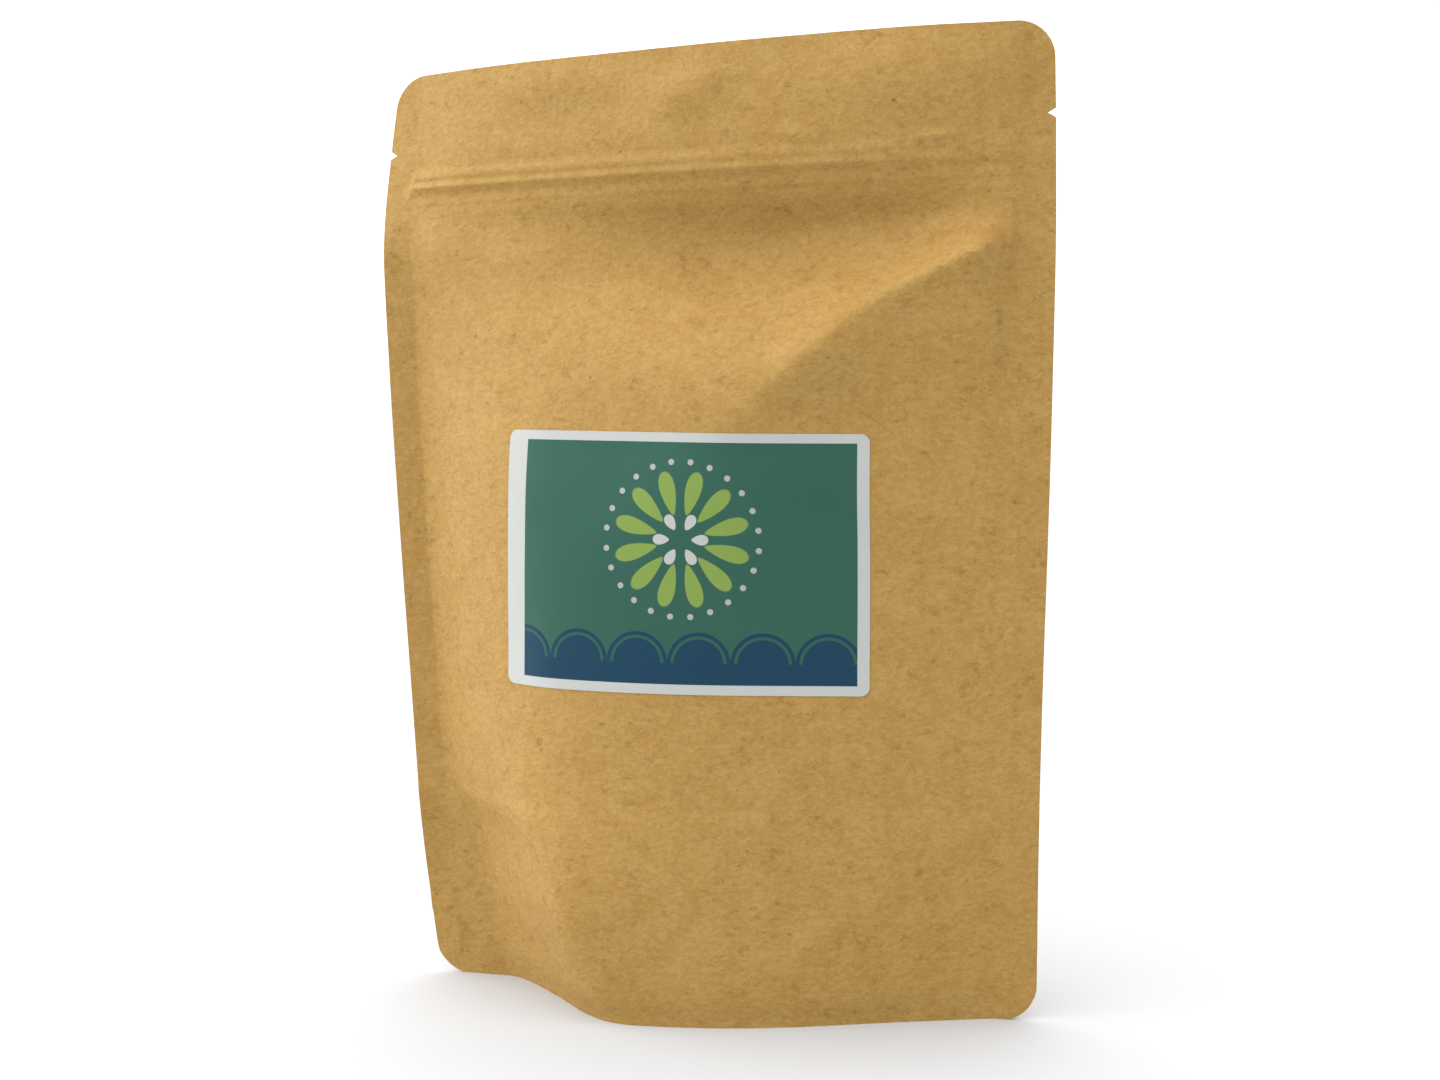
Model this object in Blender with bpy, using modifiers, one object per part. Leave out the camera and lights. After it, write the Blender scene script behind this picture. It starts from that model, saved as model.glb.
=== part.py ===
"""A kraft-paper stand-up pouch with a press-to-close zip, a paper label and its filling of dried gutweed.

Metres, +Z up. X runs along the width, the front faces -Y, and the pouch stands on the lower edges of its two
panels at z = 0. Every sheet is cut out flat and then formed: u runs across the flat panel from its centre line and v
runs up from its lower edge.
"""

import math
import random

import bmesh
import bpy
import numpy as np
from mathutils import Matrix, Vector

# Driving dimensions of the flat pouch
WIDTH = 0.190
HEIGHT = 0.260
SIDE_SEAL = 0.008
CORNER_RADIUS = 0.009
GUSSET_DEPTH = 0.055
PAPER = 0.0004
GUSSET_PAPER = 0.00025
GAP = 0.0003

# Standing pouch
STANDING_HEIGHT = 0.259
STOOD = STANDING_HEIGHT / HEIGHT
FLOOR_CLEAR = 0.001
CENTRING = 0.00105

# Tear notches in both side seals
NOTCH_HEIGHT = 0.2377
NOTCH_DEEP = 0.002
NOTCH_HALF = 0.00115

# Zip: two plastic strips inside, the front one with a rib and the back one with two hooked lips
ZIP_LOW = 0.2232
ZIP_HIGH = 0.2328
ZIP_RIB = 0.2284
ZIP_STRIP = 0.0004
ZIP_APART = 0.0020
ZIP_HALF_LENGTH = 0.0845
ZIP_ROOM = GAP + ZIP_STRIP + ZIP_APART / 2

# Label, stuck on the front
LABEL_WIDTH = 0.0992
LABEL_HEIGHT = 0.0690
LABEL_CENTRE_X = -0.0019
LABEL_CENTRE_Z = 0.1237
LABEL_TURN = -1.2
LABEL_CORNER = 0.0023
LABEL_THICK = 0.0003

# Filling
FROND_COUNT = 44
FROND_RADIUS = 0.0017
FROND_STEPS = 8
FROND_STEP = 0.0085
FILL_CENTRE_Z = 0.082
FILL_HALF_HEIGHT = 0.066
FILL_HALF_WIDTH = 0.066
FILL_CLEAR = 0.0068
FILL_SEED = 11
FILL_VOXEL = 0.0011
FILL_KEPT = 0.06

HALF = WIDTH / 2
INNER = HALF - SIDE_SEAL

# Colours, roughness and metallic value of each material
KRAFT = ((0.52, 0.33, 0.13, 1.0), 0.75, 0.0)
WHITE_PAPER = ((0.62, 0.64, 0.60, 1.0), 0.45, 0.0)
ZIP_PLASTIC = ((0.80, 0.80, 0.76, 1.0), 0.35, 0.0)
DRY_WEED = ((0.07, 0.12, 0.03, 1.0), 0.80, 0.0)


# Curves that the forming uses

def ease(t):
    """0 below t = 0, 1 above t = 1, and a smooth step between."""
    t = np.clip(t, 0.0, 1.0)
    return t * t * (3.0 - 2.0 * t)


def bell(t):
    return np.exp(-t * t)


def soft_min(a, b, radius):
    """The lower of two surfaces, with their meeting line rounded over about this depth."""
    return np.minimum(a, b) - np.maximum(radius - np.abs(a - b), 0.0) ** 2 / (4.0 * radius)


def soft_max(a, b, radius):
    return -soft_min(-a, -b, radius)


def through(at, *stops):
    """A smooth curve through (place, value) stops that doesn't swing past them."""
    place, value = np.array(stops, float).T
    step = np.diff(place)
    rise = np.diff(value) / step
    same_way = rise[1:] * rise[:-1]
    middle = np.where(same_way > 0, 2 * same_way / (rise[1:] + rise[:-1] + 1e-30), 0.0)
    slope = np.concatenate([rise[:1], middle, rise[-1:]])
    at = np.clip(at, place[0], place[-1])
    i = np.clip(np.searchsorted(place, at, side="right") - 1, 0, len(step) - 1)
    t = (at - place[i]) / step[i]
    from_here = value[i] * (1 + 2 * t) * (1 - t) ** 2 + step[i] * slope[i] * t * (1 - t) ** 2
    to_next = value[i + 1] * t * t * (3 - 2 * t) - step[i] * slope[i + 1] * t * t * (1 - t)
    return from_here + to_next


# The standing shape

def left_edge(z):
    """Where the outer edge of the left side seal stands: x and y at height z."""
    x = -through(z, (0, 0.0870), (0.010, 0.0884), (0.033, 0.0900), (0.080, 0.0922), (0.127, 0.0944),
                 (0.173, 0.0962), (0.208, 0.0970), (0.240, 0.0964), (0.259, 0.0948))
    y = 0.0025 - 0.0042 * ease(z / 0.060) + 0.0090 * ease((z - 0.205) / 0.054)
    return x + CENTRING, y


def right_edge(z):
    x = through(z, (0, 0.0870), (0.039, 0.0878), (0.087, 0.0893), (0.129, 0.0911), (0.165, 0.0926),
                (0.215, 0.0944), (0.259, 0.0950))
    y = 0.0020 - 0.0010 * ease(z / 0.060) - 0.0156 * np.maximum(z / STANDING_HEIGHT, 0.0) ** 2.5
    return x + CENTRING, y


def across(u, z):
    """x at flat place u and height z."""
    left, right = left_edge(z)[0], right_edge(z)[0]
    return left + (right - left) * (u + HALF) / WIDTH


def seam_y(u, z):
    """y of the sheet that the two side seals would span if the pouch were empty."""
    left, right = left_edge(z)[1], right_edge(z)[1]
    turned = 1.0 - ease((z - 0.185) / 0.040)
    left_crease = left + 0.0018 * turned * ease((z - 0.010) / 0.040)
    right_crease = right - 0.0020 * turned
    inner = left_crease + (right_crease - left_crease) * np.clip((u + INNER) / (2 * INNER), 0, 1)
    left_strip = np.clip((-INNER - u) / SIDE_SEAL, 0, 1) * (left - left_crease)
    right_strip = np.clip((u - INNER) / SIDE_SEAL, 0, 1) * (right - right_crease)
    header_bow = 0.0060 * ease((z - 0.200) / 0.020) * (1.0 - (u / HALF) ** 2)
    return inner + left_strip + right_strip - header_bow


def front_rise(u, z):
    """How far the filling pushes the front forward of the seam sheet: three facets with rounded folds between."""
    left_start = -INNER + 0.023 * ease((0.052 - z) / 0.052)
    left_slope = through(z, (0, 0.88), (0.060, 0.68), (0.150, 0.60), (0.200, 0.50), (0.222, 0.30))
    left = left_slope * soft_max(u - left_start, 0.0, through(z, (0, 0.022), (0.050, 0.005), (0.259, 0.004)))
    right_start = INNER - 0.004 * ease((0.050 - z) / 0.050)
    right_slope = through(z, (0, 0.42), (0.060, 0.31), (0.120, 0.29), (0.259, 0.29))
    right = right_slope * soft_max(right_start - u, 0.0, 0.003)
    lift = through(z, (0, 0.0325), (0.060, 0.0308), (0.090, 0.0288), (0.125, 0.0253), (0.158, 0.0206),
                   (0.184, 0.0152), (0.196, 0.0100), (0.205, 0.0050), (0.214, 0.0020), (0.222, 0.0003), (0.259, 0.0003))
    tilt = through(z, (0, 0.02), (0.050, 0.08), (0.090, 0.16), (0.125, 0.10), (0.158, 0.02), (0.259, 0.0))
    middle = lift + tilt * (u + 0.025)
    body = soft_min(left, middle, through(z, (0, 0.010), (0.100, 0.008), (0.200, 0.004), (0.259, 0.0003)))
    body = soft_min(body, right, through(z, (0, 0.015), (0.060, 0.017), (0.110, 0.013), (0.150, 0.008),
                                         (0.175, 0.003), (0.259, 0.0003)))
    return np.maximum(body, 0.0)


def front_folds(u, z):
    """Smaller forms of the front: the diagonal fold under the zip, the hollow above it, the turned-in hem."""
    fold_u = through(z, (0.150, 0.010), (0.169, 0.024), (0.182, 0.036), (0.194, 0.056), (0.206, 0.078))
    fold = 0.0013 * bell((u - fold_u) / 0.014) * ease((z - 0.156) / 0.022) * ease((0.214 - z) / 0.008)
    low_line = through(u, (-0.095, 0.217), (-0.050, 0.216), (0, 0.207), (0.020, 0.205), (0.050, 0.208), (0.095, 0.216))
    depth = through(u, (-0.087, 0), (-0.060, 0.0008), (-0.020, 0.0022), (0.020, 0.0042), (0.060, 0.0034), (0.087, 0))
    hollow = depth * bell((z - low_line) / 0.009) * ease((0.2208 - z) / 0.006)
    hem = 0.0013 * ease((0.009 - z) / 0.009) * ease((INNER - np.abs(u)) / 0.040)
    return fold - hollow - hem


def back_rise(u, z):
    """How far the filling pushes the back out: a plain pillow, fullest low down."""
    start = INNER - 0.016 * ease((0.052 - z) / 0.052)
    slope = through(z, (0, 0.72), (0.060, 0.60), (0.200, 0.45), (0.222, 0.30))
    flank = slope * soft_max(start - np.abs(u), 0.0, through(z, (0, 0.018), (0.050, 0.006), (0.259, 0.004)))
    lift = through(z, (0, 0.0290), (0.060, 0.0290), (0.120, 0.0250), (0.170, 0.0170), (0.200, 0.0085),
                   (0.214, 0.0026), (0.222, 0.0003), (0.259, 0.0003))
    body = soft_min(flank, lift, through(z, (0, 0.016), (0.120, 0.014), (0.200, 0.006), (0.259, 0.0003)))
    return np.maximum(body, 0.0)


def half_gap(u, z):
    """Half the room between the panels where they are not pushed apart: bare seal, gusset layers, zip."""
    layers = GUSSET_PAPER + GAP
    gusset = layers * ease((GUSSET_DEPTH + 0.006 - z) / 0.005)
    along = ease((INNER + 0.0005 - np.abs(u)) / 0.0022)
    low, high = ZIP_LOW * STOOD, ZIP_HIGH * STOOD
    band = ease((z - low + 0.0030) / 0.0024) * ease((high + 0.0030 - z) / 0.0024)
    return GAP / 2 + gusset + (ZIP_ROOM - GAP / 2) * along * band


def front_inside(u, z):
    return seam_y(u, z) - half_gap(u, z) - front_rise(u, z) - front_folds(u, z)


def back_inside(u, z):
    return seam_y(u, z) + half_gap(u, z) + back_rise(u, z)


def slant(inside, u, z):
    """How much further along Y a surface parallel to this one lies than square to it."""
    reach = 0.0005
    slope_u = (inside(u + reach, z) - inside(u - reach, z)) / (2 * reach)
    slope_z = (inside(u, z + reach) - inside(u, z - reach)) / (2 * reach)
    return min(math.sqrt(1.0 + slope_u ** 2 + slope_z ** 2), 1.6)


def formed(inside, u, v, outward):
    """The place of flat point (u, v) on a panel, this far outside the panel's inner face."""
    z = v * STOOD
    way = -1.0 if inside is front_inside else 1.0
    return Vector((float(across(u, z)), float(inside(u, z)) + way * outward * slant(inside, u, z), z))


# Helpers that make and finish objects

def material(name, look):
    colour, roughness, metallic = look
    made = bpy.data.materials.new(name)
    made.use_nodes = True
    shader = made.node_tree.nodes["Principled BSDF"]
    shader.inputs["Base Color"].default_value = colour
    shader.inputs["Roughness"].default_value = roughness
    shader.inputs["Metallic"].default_value = metallic
    made.diffuse_color = colour
    return made


def finish(name, bm, collection, look, sharp_angle=40.0):
    bmesh.ops.recalc_face_normals(bm, faces=bm.faces)
    if bm.calc_volume(signed=True) < 0:
        bmesh.ops.reverse_faces(bm, faces=bm.faces)
    mesh = bpy.data.meshes.new(name)
    bm.to_mesh(mesh)
    bm.free()
    mesh.materials.append(material(name, look))
    mesh.shade_smooth()
    mesh.set_sharp_from_angle(angle=math.radians(sharp_angle))
    made = bpy.data.objects.new(name, mesh)
    collection.objects.link(made)
    return made


def cut(bm, point, normal, drop=False):
    geometry = bm.verts[:] + bm.edges[:] + bm.faces[:]
    bmesh.ops.bisect_plane(bm, geom=geometry, dist=1e-6, plane_co=point, plane_no=normal, clear_outer=drop)


def flat_sheet(half_width, low, high, columns, rows):
    """A flat rectangle in the XZ plane, divided at these places across and up."""
    bm = bmesh.new()
    bmesh.ops.create_grid(bm, x_segments=1, y_segments=1, size=1.0)
    for vert in bm.verts:
        vert.co = (math.copysign(half_width, vert.co.x), 0.0, high if vert.co.y > 0 else low)
    for u in columns:
        cut(bm, (u, 0, 0), (1, 0, 0))
    for v in rows:
        cut(bm, (0, 0, v), (0, 0, 1))
    return bm


def round_corners(bm, half_width, low, high, radius, chords=5):
    """Cuts each corner of a flat sheet back to an arc of this radius."""
    for side in (-1, 1):
        for up, edge in ((-1, low), (1, high)):
            centre = Vector((side * (half_width - radius), 0, edge - up * radius))
            for i in range(chords):
                turn = math.radians(90.0 * (i + 0.5) / chords)
                outward = Vector((side * math.cos(turn), 0, up * math.sin(turn)))
                cut(bm, centre + outward * radius, outward, drop=True)


def thicken(bm, thickness):
    """Splits the flat sheet into triangles that will match on both faces, and gives it its thickness along Y."""
    bmesh.ops.remove_doubles(bm, verts=bm.verts, dist=1e-5)
    bmesh.ops.triangulate(bm, faces=bm.faces[:])
    bmesh.ops.solidify(bm, geom=bm.faces[:], thickness=thickness)


def spread(low, high, count):
    return [low + (high - low) * i / count for i in range(1, count)]


# Panels

def panel_columns():
    """Division lines across a panel: even ones, and pairs that hold the seal creases and the zip's ends."""
    creases = [side * place for side in (-1, 1) for place in (INNER, INNER - 0.0022, INNER - 0.006)]
    return spread(-INNER + 0.006, INNER - 0.006, 19) + creases


def panel_rows():
    """Division lines up a panel: close at the hem, at the gusset's top, round the zip and at the notches."""
    body = [0.004, 0.010] + spread(0.010, 0.150, 14) + spread(0.146, 0.190, 8)
    under_zip = [0.190, 0.196, 0.202, 0.208, 0.214, 0.219]
    zip_lines = [ZIP_LOW - 0.0014, ZIP_LOW, ZIP_HIGH, ZIP_HIGH + 0.0016, ZIP_HIGH + 0.0030]
    notch_lines = [NOTCH_HEIGHT - NOTCH_HALF, NOTCH_HEIGHT, NOTCH_HEIGHT + NOTCH_HALF]
    header = [0.245, 0.252]
    return body + under_zip + zip_lines + notch_lines + header


def tear_notches(bm):
    for vert in bm.verts:
        if abs(vert.co.z - NOTCH_HEIGHT) < 1e-5 and abs(abs(vert.co.x) - HALF) < 1e-5:
            vert.co.x -= math.copysign(NOTCH_DEEP, vert.co.x)


def panel(name, inside, collection):
    bm = flat_sheet(HALF, 0.0, HEIGHT, panel_columns(), panel_rows())
    round_corners(bm, HALF, 0.0, HEIGHT, CORNER_RADIUS)
    tear_notches(bm)
    thicken(bm, PAPER)
    for vert in bm.verts:
        u, thick, v = vert.co
        vert.co = formed(inside, u, v, PAPER if abs(thick) > PAPER / 2 else 0.0)
    return finish(name, bm, collection, KRAFT)


# Gusset

def gusset_place(u, q):
    """The underside of the gusset: q runs from one lower hem over the middle fold to the other."""
    toward_side = min(abs(u) / INNER, 1.0)
    sealed_to = 0.010 + 0.040 * toward_side ** 2.4
    fold_height = FLOOR_CLEAR + (GUSSET_DEPTH - 0.001 - FLOOR_CLEAR) * toward_side ** 3.0
    inside = front_inside if q < 0 else back_inside
    rise = front_rise if q < 0 else back_rise
    way = 1.0 if q < 0 else -1.0
    length = GUSSET_DEPTH - 2 * FLOOR_CLEAR
    up = length - abs(q) + 2 * FLOOR_CLEAR
    share = 0.0
    if up > sealed_to:
        share = min((up - sealed_to) / (GUSSET_DEPTH - sealed_to), 1.0)
    on_panel = min(up, sealed_to)
    clear_of_panel = GUSSET_PAPER + GAP + 0.0003 * min(float(rise(u, on_panel)) / 0.002, 1.0)
    off_panel = clear_of_panel * slant(inside, u, on_panel)
    wall_y = float(inside(u, on_panel)) + way * off_panel
    fold_y = float(seam_y(u, on_panel))
    z = on_panel + (fold_height - on_panel) * float(ease(share * 1.5))
    return Vector((float(across(u, on_panel)), wall_y + (fold_y - wall_y) * share, z))


def bottom_gusset(collection):
    half_width = HALF - 0.002
    reach = GUSSET_DEPTH - 2 * FLOOR_CLEAR
    columns = spread(-INNER + 0.006, INNER - 0.006, 20) + [-INNER, INNER, -INNER + 0.006, INNER - 0.006]
    rows = [side * q for side in (-1, 1) for q in (0.0006, 0.006, 0.012, 0.018, 0.024, 0.030, 0.036, 0.041, 0.046, 0.050)]
    bm = flat_sheet(half_width, -reach, reach, columns, rows + [0.0])
    round_corners(bm, half_width, -reach, reach, CORNER_RADIUS)
    bmesh.ops.remove_doubles(bm, verts=bm.verts, dist=1e-5)
    bmesh.ops.triangulate(bm, faces=bm.faces[:])
    for vert in bm.verts:
        vert.co = gusset_place(vert.co.x, vert.co.z)
    bmesh.ops.recalc_face_normals(bm, faces=bm.faces)
    underside = max(bm.faces, key=lambda face: face.calc_area() * abs(face.normal.z))
    if underside.normal.z > 0:
        bmesh.ops.reverse_faces(bm, faces=bm.faces)
    bmesh.ops.solidify(bm, geom=bm.faces[:], thickness=GUSSET_PAPER)
    return finish("bottom_gusset", bm, collection, KRAFT)


# Zip

def zip_track(name, outline, inside, collection):
    """A profile, given as (distance from the panel, height from the rib), swept along the zip's length."""
    bm = bmesh.new()
    for out, up in outline:
        bm.verts.new((-ZIP_HALF_LENGTH, out, ZIP_RIB + up))
    bm.verts.ensure_lookup_table()
    loop = [bm.edges.new((bm.verts[i - 1], bm.verts[i])) for i in range(len(outline))]
    ends = loop[:]
    steps = 24
    for _ in range(steps):
        made = bmesh.ops.extrude_edge_only(bm, edges=loop)["geom"]
        loop = [item for item in made if isinstance(item, bmesh.types.BMEdge)]
        moved = [item for item in made if isinstance(item, bmesh.types.BMVert)]
        bmesh.ops.translate(bm, verts=moved, vec=(2 * ZIP_HALF_LENGTH / steps, 0, 0))
    for end in (ends, loop):
        bmesh.ops.contextual_create(bm, geom=end)
    bmesh.ops.triangulate(bm, faces=bm.faces[:])
    way = 1.0 if inside is front_inside else -1.0
    for vert in bm.verts:
        u, out, v = vert.co
        z = v * STOOD
        middle = float(seam_y(u, z))
        vert.co = (float(across(u, z)), middle - way * (ZIP_ROOM - GAP - out), z)
    return finish(name, bm, collection, ZIP_PLASTIC, 30.0)


def zip_profiles():
    """The rib strip and the lip strip, 0.3 mm clear of each other all round."""
    low, high = ZIP_LOW - ZIP_RIB, ZIP_HIGH - ZIP_RIB
    top = ZIP_STRIP
    rib = [(0, low), (0, high), (top, high), (top, 0.0003), (top + 0.0010, 0.0003), (top + 0.00105, 0.0007),
           (top + 0.0017, 0.00025), (top + 0.0017, -0.00025), (top + 0.00105, -0.0007), (top + 0.0010, -0.0003),
           (top, -0.0003), (top, low)]
    lip = [(0.0, 0.0015), (0.0017, 0.0013), (0.0017, 0.0006), (0.0013, 0.0006), (0.0010, 0.0010), (0.0, 0.0010)]
    upper = [(top + out, up) for out, up in lip]
    lower = [(top + out, -up) for out, up in reversed(lip)]
    return rib, [(0, low), (0, high), (top, high)] + upper + lower + [(top, low)]


# Label

def front_label(collection):
    """A sticker laid on the front panel, following its folds."""
    half_width, half_height = LABEL_WIDTH / 2, LABEL_HEIGHT / 2
    bm = flat_sheet(half_width, -half_height, half_height, spread(-half_width, half_width, 14),
                    spread(-half_height, half_height, 8))
    round_corners(bm, half_width, -half_height, half_height, LABEL_CORNER, chords=3)
    thicken(bm, LABEL_THICK)
    turned = Matrix.Rotation(math.radians(LABEL_TURN), 2)
    for vert in bm.verts:
        x, up = turned @ Vector((vert.co.x, vert.co.z))
        z = LABEL_CENTRE_Z + up
        left, right = left_edge(z)[0], right_edge(z)[0]
        u = float((LABEL_CENTRE_X + x - left) / (right - left) * WIDTH - HALF)
        lift = PAPER + GAP + (LABEL_THICK if abs(vert.co.y) > LABEL_THICK / 2 else 0.0)
        vert.co = formed(front_inside, u, z / STOOD, lift)
    return finish("front_label", bm, collection, WHITE_PAPER)


# Filling

def fill_place(across_share, front_share, up_share):
    """A place on the filling's rounded body, from a point of the unit ball."""
    z = FILL_CENTRE_Z + FILL_HALF_HEIGHT * up_share
    x = FILL_HALF_WIDTH * across_share + 0.004
    rise = front_rise if front_share < 0 else back_rise
    depth = max(float(rise(x, z)) - FILL_CLEAR, 0.0015)
    return Vector((x, float(seam_y(x, z)) + front_share * depth, z))


def frond(draw, bm):
    """One tubular frond: a four-sided tube that wanders over the filling, half sunk in it, and tapers."""
    turn = draw.uniform(0, 2 * math.pi)
    height = draw.uniform(-0.75, 0.75)
    heading = draw.uniform(0, 2 * math.pi)
    places = []
    for _ in range(FROND_STEPS):
        level = math.sqrt(max(1 - height * height, 0.05))
        places.append(fill_place(level * math.cos(turn), level * math.sin(turn), height))
        heading += draw.uniform(-0.7, 0.7)
        height = min(max(height + FROND_STEP / FILL_HALF_HEIGHT * math.sin(heading), -0.85), 0.85)
        turn += FROND_STEP / FILL_HALF_WIDTH * math.cos(heading) * 1.6
    previous = None
    for i, place in enumerate(places):
        ahead = places[min(i + 1, len(places) - 1)] - places[max(i - 1, 0)]
        swell = 1.0 - 0.75 * abs(2 * i / (len(places) - 1) - 1.0) ** 3
        ring = bmesh.ops.create_circle(bm, segments=4, radius=FROND_RADIUS * swell, cap_ends=i in (0, len(places) - 1))
        facing = ahead.to_track_quat("Z", "Y").to_matrix().to_4x4()
        bmesh.ops.transform(bm, matrix=Matrix.Translation(place) @ facing, verts=ring["verts"])
        edges = list({edge for vert in ring["verts"] for edge in vert.link_edges
                      if all(end in ring["verts"] for end in edge.verts)})
        if previous:
            bmesh.ops.bridge_loops(bm, edges=previous + edges)
        previous = edges
    bmesh.ops.triangulate(bm, faces=bm.faces[:])


def drop_pockets(mesh):
    """Deletes the small closed pockets that crossing fronds leave inside a mesh."""
    bm = bmesh.new()
    bm.from_mesh(mesh)
    waiting = set(bm.verts)
    islands = []
    while waiting:
        island = set()
        reached = [waiting.pop()]
        while reached:
            vert = reached.pop()
            island.add(vert)
            beside = {edge.other_vert(vert) for edge in vert.link_edges} & waiting
            waiting -= beside
            reached.extend(beside)
        islands.append(island)
    islands.sort(key=len)
    pockets = [vert for island in islands[:-1] for vert in island]
    bmesh.ops.delete(bm, geom=pockets, context="VERTS")
    bm.to_mesh(mesh)
    bm.free()


def dried_gutweed(collection):
    """The filling: a loose core, with the fronds that lie on it and stand out of it melted into one skin."""
    bm = bmesh.new()
    bmesh.ops.create_uvsphere(bm, u_segments=24, v_segments=14, radius=1.0)
    for vert in bm.verts:
        vert.co = fill_place(*vert.co)
    draw = random.Random(FILL_SEED)
    for _ in range(FROND_COUNT):
        frond(draw, bm)
    filling = finish("dried_gutweed", bm, collection, DRY_WEED)
    skin = filling.modifiers.new("one_skin", "REMESH")
    skin.mode = "VOXEL"
    skin.voxel_size = FILL_VOXEL
    fewer = filling.modifiers.new("fewer_faces", "DECIMATE")
    fewer.ratio = FILL_KEPT
    fewer.use_collapse_triangulate = True
    bpy.context.view_layer.objects.active = filling
    for name in ("one_skin", "fewer_faces"):
        bpy.ops.object.modifier_apply(modifier=name)
    drop_pockets(filling.data)
    return filling


def main():
    for old in list(bpy.data.objects):
        bpy.data.objects.remove(old, do_unlink=True)
    pouch = bpy.data.collections.new("stand_up_pouch")
    bpy.context.scene.collection.children.link(pouch)
    panel("front_panel", front_inside, pouch)
    panel("back_panel", back_inside, pouch)
    bottom_gusset(pouch)
    rib_profile, lip_profile = zip_profiles()
    zip_track("zip_track_front", rib_profile, front_inside, pouch)
    zip_track("zip_track_back", lip_profile, back_inside, pouch)
    front_label(pouch)
    dried_gutweed(pouch)


main()
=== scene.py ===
"""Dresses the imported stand-up pouch: finely folded kraft panels, the gusset, a printed label, and a plain stage."""

import math

import bmesh
import bpy
import numpy as np
from mathutils import Matrix, Vector, noise


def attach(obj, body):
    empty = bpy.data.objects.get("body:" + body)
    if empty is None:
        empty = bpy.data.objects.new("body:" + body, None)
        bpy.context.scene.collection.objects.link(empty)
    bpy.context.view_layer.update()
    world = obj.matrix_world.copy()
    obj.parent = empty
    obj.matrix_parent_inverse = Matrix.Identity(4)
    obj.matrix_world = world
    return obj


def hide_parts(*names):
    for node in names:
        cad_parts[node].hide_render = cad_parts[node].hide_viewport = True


bl_info = {
    "name": "Kraft stand-up pouch",
    "version": (1, 0, 0),
    "blender": (4, 5, 0),
    "location": "View3D > Sidebar > Pouch",
    "description": "Builds the paper, label and stage of a stand-up pouch around its packed solids",
    "category": "Add Mesh",
}

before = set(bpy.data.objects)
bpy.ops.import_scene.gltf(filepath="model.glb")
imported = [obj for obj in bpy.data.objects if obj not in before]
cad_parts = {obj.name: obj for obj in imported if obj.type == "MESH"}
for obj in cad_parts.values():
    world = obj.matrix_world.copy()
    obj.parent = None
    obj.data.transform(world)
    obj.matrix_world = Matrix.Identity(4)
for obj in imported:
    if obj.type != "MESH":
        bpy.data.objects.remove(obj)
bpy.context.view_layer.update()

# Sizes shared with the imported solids, in metres
WIDTH = 0.190
HEIGHT = 0.260
SIDE_SEAL = 0.008
GUSSET_DEPTH = 0.055
STANDING_HEIGHT = 0.259
STOOD = STANDING_HEIGHT / HEIGHT
FLOOR_CLEAR = 0.001
CENTRING = 0.00105
HALF = WIDTH / 2
INNER = HALF - SIDE_SEAL
NOTCH_HEIGHT = 0.2377
NOTCH_DEEP = 0.002
NOTCH_HALF = 0.00115
ZIP_LOW = 0.2232
ZIP_HIGH = 0.2328
ZIP_ROOM = 0.0017
TOP_BOW = 0.0006
LABEL_CENTRE_X = -0.0019
LABEL_CENTRE_Z = 0.1237
LABEL_TURN = -1.2
CORNER_CHORDS = 9

# How finely the papers are divided where PouchSizes.mesh_step is too coarse, too fine or not used
SEAL_BAND_OUT = 0.0012
SEAL_BAND_IN = 0.0030
SEAL_BAND_STEP = 0.0006
EDGE_STEP = 0.0023
ZIP_ROWS_FROM = 0.2180
ZIP_ROWS_STEP = 0.00036
LABEL_STEP = 0.0012
SHARP_FROM_DEGREES = 42

# How the layers are fitted together
LABEL_LIFT = 0.00004
GUSSET_INSET = 0.0002
FOLD_BELOW = 0.001
ZIP_CUTS = 3
ZIP_PRESSED = 0.8

# The punched marks beside the hem, and the seeds of the panels' crumples
PUNCH_U = 0.0935
PUNCH_Z = 0.0126
FRONT_SEED = 3.0
BACK_SEED = 11.0

# The label's print: places of its parts from the label's middle, and the scallops' width
PRINT_RIGHT = 0.0014
ROSETTE_UP = 0.0065
SCALLOPS_DOWN = 0.0262
SCALLOP_WIDTH = 0.0165

# The camera's place and the way it looks
CAMERA_PLACE = (0.16433, -0.51241, 0.1736)
CAMERA_AZIMUTH = 17.54
CAMERA_DIP = 4.86
CAMERA_ROLL = -0.97
CAMERA_LENS = 49.2

# The studio's surround: its mean strength, and how much stronger it is along each axis
SURROUND = 1.07
LIT_FROM = (-0.48, 0.07, 1.50)

# The window to the left, the point that it faces, and the floor
WINDOW_PLACE = (-1.15, -0.20, 0.55)
WINDOW_AIM = (0.0, 0.0, 0.12)
WINDOW_SIZE = (1.1, 1.2)
WINDOW_POWER = 10.2
FLOOR_RADIUS = 14.0
FLOOR_SIDES = 96


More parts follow.
